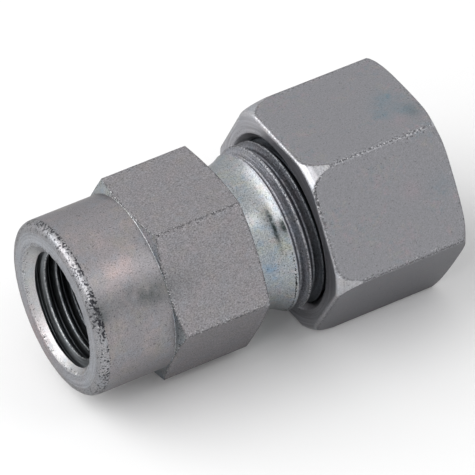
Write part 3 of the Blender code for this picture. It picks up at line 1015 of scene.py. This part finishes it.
    def build(self) -> bpy.types.Object:
        """Makes the body's skin and its finishes, and sets it in the frame.

        Returns:
            The finished piece.
        """
        angles = self.bar.columns()
        skin = Skin(angles, (
            # a pale pink patch of passivate tint that also paints part of the front lamp's highlight on the
            # barrel
            Patch(Tint.PINK_AND_HIGHLIGHT, -14.4, 128.0, 1.3, 10.0, 0.6),
            Patch(Tint.PINK_AND_HIGHLIGHT, -15.0, 105.0, 4.0, 22.0, 0.14),
            # dark film patches along the barrel at about 147 degrees paint the reflection of the dark gap
            # between the lamps
            Patch(Tint.FILM_AND_PAINTED_SHADE, -13.2, 147.0, 4.6, 8.5, 1.0),
            Patch(Tint.FILM_AND_PAINTED_SHADE, -18.1, 149.0, 0.6, 8.0, 0.8),
            Patch(Tint.PINK_AND_HIGHLIGHT, -19.3, 300.0, 1.4, 30.0, 0.5),
            Patch(Tint.STRAW, 3.1, 154.0, 0.8, 8.0, 0.5),
            Patch(Tint.PINK_AND_HIGHLIGHT, 2.9, 122.0, 0.5, 5.0, 0.4),
            # dark film patches on the neck's flare paint a dark reflection
            Patch(Tint.FILM_AND_PAINTED_SHADE, 2.7, 131.0, 0.5, 5.0, 0.5),
            Patch(Tint.FILM_AND_PAINTED_SHADE, 3.1, 138.0, 0.24, 14.0, 1.5),
            Patch(Tint.FILM_AND_PAINTED_SHADE, 4.0, 140.0, 0.45, 5.0, 1.3),
            Patch(Tint.BLUE, 2.0, 170.0, 1.3, 13.0, 0.8),
        ))
        skin.draw(self.outside(angles))
        self.add_stub(skin)
        skin.draw(self.inside(angles))
        self.add_port(skin)
        finishes = {
            # turned barrel: hardly visible rings, faint warm clouds and fine specks, with a painted dark
            # reflection band and a pale pink patch that paints part of a highlight
            Surface.TURNED: ZincPlate(
                "zinc_plated_turned_steel", colour="#8D8B8E", grain=0.13, grain_shade=1.2, specks=0.6,
                speck_level=0.62, clouds=2.4, rings=0.10, tinge=0.16, pit_size=0.14, pit_cover=0.12,
                bare_from=0.72, pink_and_highlight="#BBA6A3"),
            # faced end of the barrel: cooler and paler, with the lathe's rings round the port
            Surface.FACE: ZincPlate(
                "zinc_plated_faced_steel", colour="#A2A4A9", roughness=0.36, grain=0.13, grain_shade=1.3,
                grain_depth=0.005, specks=0.6, speck_level=0.63, rings=0.8, ring_pitch=0.22, tinge=0.10,
                pit_size=0.14, pit_cover=0.12, bare_from=0.72),
            # countersink: the same cut, tumbled to a cloudy satin with a warm tinge
            Surface.COUNTERSINK: ZincPlate(
                "zinc_plated_countersink", colour="#AAAAAC", roughness=0.40, grain=0.14, grain_shade=1.2,
                grain_depth=0.004, specks=0.6, speck_level=0.64, clouds=1.2, rings=0.3, tinge=0.30,
                pit_size=0.14, pink_and_highlight="#BCACAB", straw="#ACACA0", blue="#94A6AE"),
            # tumbled rim: soft gloss with banks of small hard pits
            Surface.RIM: ZincPlate(
                "zinc_plated_tumbled_rim", colour="#919194", roughness=0.31, grain=0.13, grain_shade=1.9,
                grain_depth=0.007, specks=0.5, tinge=0.08, pit_size=0.25, pit_cover=0.20, pit_banks=0.08,
                bare_from=0.66, film_and_painted_shade="#36393B", pit_colour="#36363A", rubbed_colour="#D2D2D4"),
            # cold-drawn flats: an even, sandy grain that kills the gloss
            Surface.FLAT: ZincPlate(
                "zinc_plated_drawn_steel", colour="#8D8B8E", roughness=0.50, grain=0.13, grain_stretch=1.3,
                grain_shade=1.9, grain_depth=0.016, specks=0.5, tinge=0.08, pit_size=0.16),
            # form-turned neck and chamfers: smoother and paler, with more colour and a painted dark
            # reflection on the flare
            Surface.BRIGHT: ZincPlate(
                "zinc_plated_bright_turned_steel", colour="#9B9FA2", roughness=0.33, grain=0.14,
                grain_shade=1.9, grain_depth=0.004, specks=0.8, speck_level=0.63, clouds=1.3, rings=0.2,
                tinge=0.45, pit_size=0.16, pink_and_highlight="#B0A2A3", straw="#A0A293", blue="#7F93A6", film_and_painted_shade="#2E3636"),
            # cut thread: oil-dark roots and crests rubbed pale, darkened towards the nut by oil and painted
            # shadow from the nut
            Surface.THREAD: ZincPlate(
                "zinc_plated_cut_thread", colour="#8F9096", roughness=0.40, grain=0.19, grain_shade=2.4,
                grain_depth=0.012, specks=0.6, speck_level=0.62, rings=1.6, ring_pitch=0.28, tinge=0.15,
                pit_size=0.17, bare_from=0.40, oil_and_shade_colour="#1C242A", rubbed_colour="#CFCFD2"),
            # tapped thread: dark, with the tap's fine lines and painted shade that deepens in the grooves
            # and further in
            Surface.PORT: ZincPlate(
                "thinly_plated_tapped_thread", colour="#84888A", roughness=0.34, grain=0.13,
                grain_depth=0.022, rings=3.6, ring_pitch=0.36, tinge=0.08, bare_from=0.45,
                rubbed_colour="#B4B6B6", oil_and_shade_colour="#54575B"),
            # drilled bore: plain dark steel where the plate hardly reached
            Surface.BORE: ZincPlate(
                "thinly_plated_drilled_steel", colour="#6C6D70", roughness=0.40, rings=0.3, tinge=0.05,
                edge_wear=0.0),
        }
        return set_in_frame(skin, self.tube_end.origin, finishes, "coupler_body", "body")


@dataclass(frozen=True)
class UnionNut:
    """The union nut: hexagon bar with its corners rounded off at the mouth and towards the tube."""

    tube_end: TubeEnd
    bar: HexagonBar = HexagonBar(across_flats=22.0, corner_round=0.40, across_corners=25.19)
    mouth_diameter: float = 19.3
    face_diameter: float = 23.0     # where the mouth's face starts to round off
    corner_run: float = 4.5
    tube_face_diameter: float = 21.6
    tube_corner_run: float = 1.2    # how far along the axis the corners round off at the tube's end
    thread_run: float = 9.0
    edge_run: float = 0.18          # reach of the small edge between the mouth's face and a flat
    edge_rise: float = 0.50         # and how far in on the face it starts
    dark_edge: float = 132.0        # angle at which the edge round the flats is scuffed most
    dark_edge_width: float = 14.0   # degrees
    curve_points: int = 16

    def rounding(self, hexagon: np.ndarray, face: float, foot: float, run: float,
                 edge_rise: float = 0.0) -> np.ndarray:
        """Draws the quarter ellipse that takes the bar's corners from an end face to the flats.

        Args:
            hexagon: The bar's radius by column.
            face: The end face's place.
            foot: Radius at which it starts to round off.
            run: How far along the axis the corners round off, below 0 towards the neck.
            edge_rise: How far in the small edge between the face and the middle of a flat starts.

        Returns:
            Columns by points by (place, radius), from the face on.
        """
        corner = self.bar.across_flats / math.sqrt(3.0)
        share = np.linspace(0.0, 1.0, self.curve_points)
        rest = np.arcsin(np.clip((hexagon - foot) / (corner - foot), 0.0, 1.0))
        sweep = rest[:, None] * share
        radius = np.minimum(hexagon, foot)[:, None] + (corner - foot) * np.sin(sweep)
        place = face + run * (1.0 - np.cos(sweep))
        if edge_rise:
            # in the middle of a flat, where the ellipse has no room, a small bent edge takes its place
            bent = np.clip(1.0 - (place[:, -1:] - face) / self.edge_run, 0.0, 1.0)
            place = place + self.edge_run * bent * share ** 2
            radius = radius - edge_rise * bent * (1.0 - share)
        return np.stack([place, radius], axis=2)

    def outline(self, angles: np.ndarray) -> Outline:
        """Draws the nut from its mouth's countersink over the outside and back through the tube hole.

        Args:
            angles: The columns' angles in degrees.

        Returns:
            The outline.
        """
        end = self.tube_end
        thread = end.nut_thread
        mouth_face = end.place("union_nut", 0)
        tube_face = end.place("union_nut", 1)
        mouth = self.mouth_diameter / 2.0
        face = self.face_diameter / 2.0
        hexagon = self.bar.radius(angles)
        made = Outline(len(angles), mouth_face + mouth - thread.crest, thread.crest)
        made.line(mouth_face, mouth, Surface.FACE, steps=4, round_off=0.10, worn=0.3)
        mouth_rounding = self.rounding(hexagon, mouth_face, face, self.corner_run, self.edge_rise)
        made.line(mouth_face, mouth_rounding[:, 0, 1], Surface.FACE, steps=6)
        made.curve(
            mouth_rounding, Surface.TURNED, steps=18, round_off=0.24, worn=0.3,
            scuffed=0.5 + 0.5 * fade(off_angle(angles, self.dark_edge), self.dark_edge_width))
        tube_corner = self.tube_face_diameter / 2.0
        tube_rounding = self.rounding(hexagon, tube_face, tube_corner, -self.tube_corner_run)[:, ::-1]
        made.line(
            tube_rounding[:, 0, 0], hexagon, Surface.FLAT, steps=24, round_off=0.12, worn=0.3, scuffed=0.6,
            corner_gap=self.bar.from_corner(angles))
        made.curve(tube_rounding, Surface.TURNED, steps=10)
        made.line(tube_face, end.tube_hole, Surface.FACE, steps=10, round_off=0.15, worn=0.3)
        shoulder_end = end.nut_shoulder + thread.root - end.tube_hole
        made.line(shoulder_end, end.tube_hole, Surface.BORE, steps=5, round_off=0.1)
        made.line(end.nut_shoulder, thread.root, Surface.BORE, steps=4, round_off=0.1)
        made.line(mouth_face + self.thread_run, thread.root, Surface.BORE, steps=2)
        return made

    def thread(self, angles: np.ndarray) -> tuple[np.ndarray, np.ndarray]:
        """Draws the nut's thread, from its run-out to the countersink.

        Args:
            angles: The columns' angles in degrees.

        Returns:
            The points, columns by points by (place, radius), and their wear.
        """
        thread = self.tube_end.nut_thread
        mouth_face = self.tube_end.place("union_nut", 0)
        start = mouth_face + self.mouth_diameter / 2.0 - thread.crest
        return thread.tapped(start, mouth_face + self.thread_run, angles)

    def build(self) -> bpy.types.Object:
        """Makes the nut's skin and its finishes, and sets it in the frame.

        Returns:
            The finished piece.
        """
        angles = self.bar.columns()
        skin = Skin(angles, (
            Patch(Tint.BLUE, 18.2, 101.0, 0.9, 6.0, 1.0),
            Patch(Tint.BLUE, 19.8, 92.0, 1.2, 6.0, 0.9),
            Patch(Tint.BLUE, 20.6, 104.0, 0.9, 5.0, 1.0),
            Patch(Tint.FILM_AND_PAINTED_SHADE, 21.2, 107.0, 0.8, 5.0, 0.6),
            Patch(Tint.PINK_AND_HIGHLIGHT, 19.2, 110.0, 0.8, 3.0, 0.5),
            Patch(Tint.PINK_AND_HIGHLIGHT, 17.5, 146.0, 0.8, 4.0, 0.4),
            Patch(Tint.BLUE, 21.0, 150.0, 1.4, 8.0, 0.3),
        ))
        skin.draw(self.outline(angles))
        skin.add(*self.thread(angles), Surface.THREAD)
        finishes = {
            # turned mouth and chamfers: smooth, with the lathe's rings
            Surface.TURNED: ZincPlate(
                "zinc_plated_turned_nut_steel", colour="#ACACB0", roughness=0.35, grain=0.14,
                grain_shade=1.1, grain_depth=0.004, specks=0.4, rings=0.7, ring_pitch=0.2, tinge=0.12),
            # faced mouth and tube end: cloudy pale plate over fine rings
            Surface.FACE: ZincPlate(
                "zinc_plated_faced_nut_steel", colour="#A2A2A7", metallic=0.95, roughness=0.36,
                grain_depth=0.004, specks=0.3, rings=1.2, ring_pitch=0.22, tinge=0.08),
            # drawn flats under a thicker plate: satin and plain, with a few small blue and pink clouds
            Surface.FLAT: ZincPlate(
                "zinc_plated_satin_steel", colour="#8B8B8F", grain=0.14, grain_shade=0.9, grain_depth=0.005,
                specks=0.4, speck_level=0.65, clouds=0.7, clouded_from=0.52, tinge=0.34, pit_size=0.18,
                pink_and_highlight="#A38D94", straw="#96958C", blue="#76868F", film_and_painted_shade="#5F6B70"),
            # cut thread in the shade of the mouth: darker and hardly worn
            Surface.THREAD: ZincPlate(
                "zinc_plated_nut_thread", colour="#75777D", roughness=0.34, tinge=0.1, edge_wear=0.3),
            # bore and shoulder: plain dark steel where the plate hardly reached
            Surface.BORE: ZincPlate(
                "thinly_plated_nut_bore", colour="#6C6D70", roughness=0.40, rings=0.3, tinge=0.05,
                edge_wear=0.0),
        }
        return set_in_frame(skin, self.tube_end.origin, finishes, "union_nut", "nut")


@dataclass(frozen=True)
class CuttingRing:
    """The cutting ring between the body's cone and the nut's shoulder, with two edges that bite the tube."""

    tube_end: TubeEnd
    columns: int = 144
    collar_diameter: float = 15.4
    nose_wall: float = 0.4
    taper_length: float = 2.6
    back_wall: float = 0.5
    relief_depth: float = 0.3
    cutting_edge: float = 0.7
    edge_round: float = 0.05
    edge_wear: float = 0.2
    bore_edge_round: float = 0.02

    def outline(self, angles: np.ndarray) -> Outline:
        """Draws the ring's outside from its nose back, then its bore with the two edges.

        Args:
            angles: The columns' angles in degrees.

        Returns:
            The outline.
        """
        end = self.tube_end
        start = end.place("cutting_ring", 0)
        back_face = end.place("cutting_ring", 1)
        hole = end.tube_hole
        nose = hole + self.nose_wall
        collar = self.collar_diameter / 2.0
        back = hole + self.back_wall
        taper_end = start + self.taper_length
        taper_top = nose + self.taper_length * tangent(end.cone_half_angle)
        relief = hole + self.relief_depth
        edge = self.cutting_edge
        made = Outline(len(angles), start, hole)
        for place, radius, steps in (
                (start, nose, 2), (taper_end, taper_top, 8), (taper_end + collar - taper_top, collar, 3),
                (back_face - (collar - back), collar, 4), (back_face, back, 4), (back_face, hole, 2)):
            made.line(
                place, radius, Surface.TURNED, steps=steps, round_off=self.edge_round,
                worn=self.edge_wear)
        # from the back to the nose, with a relief behind each of the two edges
        for place, radius, steps in (
                (taper_end, hole, 4), (taper_end, relief, 2), (taper_end - edge, relief, 3),
                (taper_end - edge, hole, 2), (start + edge, hole, 3),
                (start + edge, relief - self.relief_depth / 2.0, 2), (start, hole, 3)):
            made.line(place, radius, Surface.BORE, steps=steps, round_off=self.bore_edge_round)
        return made

    def build(self) -> bpy.types.Object:
        """Makes the ring's skin and its finish, and sets it in the frame.

        Returns:
            The finished piece.
        """
        angles = np.linspace(0.0, 360.0, self.columns + 1)
        skin = Skin(angles)
        skin.draw(self.outline(angles))
        # phosphated turned steel: darker and duller than the plated pieces round it
        finishes = {Surface.TURNED: ZincPlate(
            "phosphated_turned_steel", colour="#6E6E6A", roughness=0.48, rings=0.3, tinge=0.05,
            edge_wear=0.5)}
        return set_in_frame(skin, self.tube_end.origin, finishes, "cutting_ring", "ring")


def placed(name: str, data: bpy.types.ID) -> bpy.types.Object:
    """Makes an object and puts it in the scene.

    Args:
        name: The object's name.
        data: Its mesh, lamp or camera.

    Returns:
        The object.
    """
    made = bpy.data.objects.new(name, data)
    bpy.context.scene.collection.objects.link(made)
    return made


def set_in_frame(skin: Skin, origin: Vector, finishes: Mapping[Surface, ZincPlate], node: str,
                 body: str) -> bpy.types.Object:
    """Turns a skin into a finished piece that stands for its CAD node.

    Args:
        skin: The piece's skin.
        origin: The shoulder's place on the axis, in metres.
        finishes: The finish of each kind of surface. One that isn't there is as the turned one.
        node: The CAD node that the piece stands for.
        body: The body that it rides on.

    Returns:
        The piece.
    """
    name = node + "_skin"
    piece = placed(name, skin.mesh(name, origin))
    made = {finish.name: finish.material(origin.z) for finish in finishes.values()}
    for surface in Surface:
        finish = finishes.get(surface, finishes[Surface.TURNED])
        piece.data.materials.append(made[finish.name])
    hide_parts(node)
    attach(piece, body)
    corners = [[round(value / MM, 3) for value in corner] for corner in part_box(node)]
    log.info("%s: replaces %s, which reaches %s to %s mm", name, node, *corners)
    return piece


@dataclass(frozen=True)
class Softbox:
    """A studio lamp that faces the coupler."""

    name: str
    towards: tuple[float, float, float]     # from the coupler to the lamp
    distance: float                         # metres
    width: float
    height: float
    watts: float

    def build(self, aim: Vector) -> None:
        """Makes the lamp, facing a point.

        Args:
            aim: The point, in metres.
        """
        lamp = bpy.data.lights.new(self.name, "AREA")
        lamp.shape = "RECTANGLE"
        lamp.size = self.width
        lamp.size_y = self.height
        lamp.energy = self.watts
        made = placed(self.name, lamp)
        direction = Vector(self.towards).normalized()
        made.location = aim + direction * self.distance
        made.rotation_euler = direction.to_track_quat("Z", "Y").to_euler()


@dataclass(frozen=True)
class Studio:
    """The floor, the plain light and the camera at the photograph's angle."""

    floor_colour: str = "#F6F6F6"
    floor_size: float = 3.0                 # metres
    floor_gap: float = 0.00002              # metres that it lies below the coupler
    floor_roughness: float = 0.9
    sky_colour: str = "#FFFFFF"
    sky_strength: float = 0.62              # what the floor and other matt surfaces receive
    softboxes: tuple[Softbox, ...] = (
        Softbox("key_softbox", (-0.64, 0.10, 0.72), 0.7, 1.2, 0.6, 4.3),
        Softbox("side_softbox", (-0.80, 0.45, 0.38), 0.7, 0.9, 0.30, 1.1),
        Softbox("front_softbox", (0.37, -0.48, 0.80), 0.85, 0.3, 0.24, 0.45),
    )
    azimuth: float = -29.25                 # degrees
    elevation: float = 40.99
    roll: float = 1.69                      # degrees that the image's right side dips
    distance: float = 0.6035                # metres from the aim
    aim: tuple[float, float, float] = (0.000448, -0.000116, 0.011135)
    lens: float = 448.18                    # millimetres
    sensor_width: float = 36.0              # millimetres

    def floor(self) -> None:
        """Makes the pale floor, which keeps the coupler's shadow."""
        mesh = bpy.data.meshes.new("floor")
        shape = bmesh.new()
        bmesh.ops.create_grid(shape, x_segments=1, y_segments=1, size=self.floor_size / 2.0)
        shape.to_mesh(mesh)
        shape.free()
        made = placed("floor", mesh)
        made.location.z = -self.floor_gap
        material = bpy.data.materials.new("matt_white_paper")
        material.use_nodes = True
        shader = material.node_tree.nodes["Principled BSDF"]
        shader.inputs["Base Color"].default_value = linear(self.floor_colour)
        shader.inputs["Roughness"].default_value = self.floor_roughness
        shader.inputs["Specular IOR Level"].default_value = 0.0
        mesh.materials.append(material)

    def sky(self) -> None:
        """Makes the even light from all round, seen as white by the camera and in reflections."""
        world = bpy.data.worlds.new("studio_sky")
        world.use_nodes = True
        tree = world.node_tree
        seen = add(tree, "LightPath", output="Is Camera Ray")
        for ray in ("Is Glossy Ray", "Is Transmission Ray"):
            seen = add(tree, "Math", {0: seen, 1: add(tree, "LightPath", output=ray)}, operation="MAXIMUM")
        strength = add(tree, "MapRange", {"Value": seen, "To Min": self.sky_strength, "To Max": 1.0})
        background = tree.nodes["Background"]
        background.inputs["Color"].default_value = linear(self.sky_colour)
        tree.links.new(strength, background.inputs["Strength"])
        bpy.context.scene.world = world

    def camera(self) -> None:
        """Makes the camera at the photograph's angle."""
        turn, rise, dip = [math.radians(value) for value in (self.azimuth, self.elevation, self.roll)]
        back = Vector((math.sin(turn) * math.cos(rise), -math.cos(turn) * math.cos(rise), math.sin(rise)))
        level = (-back).cross(Vector((0.0, 0.0, 1.0))).normalized()
        above = level.cross(-back)
        right = level * math.cos(dip) - above * math.sin(dip)
        up = above * math.cos(dip) + level * math.sin(dip)
        made = placed("camera", bpy.data.cameras.new("camera"))
        made.data.lens = self.lens
        made.data.sensor_width = self.sensor_width
        made.matrix_world = Matrix.Translation(Vector(self.aim) + back * self.distance) @ Matrix(
            (right, up, back)).transposed().to_4x4()
        bpy.context.scene.camera = made

    def build(self) -> None:
        """Makes everything round the coupler."""
        self.floor()
        self.sky()
        self.camera()
        for softbox in self.softboxes:
            softbox.build(Vector(self.aim))
        bpy.context.scene.view_settings.view_transform = "Standard"
        log.info("studio: floor, sky, camera and %d softboxes", len(self.softboxes))


def main() -> None:
    """Builds the coupler's pieces and the studio round them."""
    logging.basicConfig(level=logging.INFO, format="%(name)s: %(message)s")
    tube_end = TubeEnd()
    CouplerBody(tube_end).build()
    UnionNut(tube_end).build()
    CuttingRing(tube_end).build()
    Studio().build()


if __name__ == "__main__":
    main()
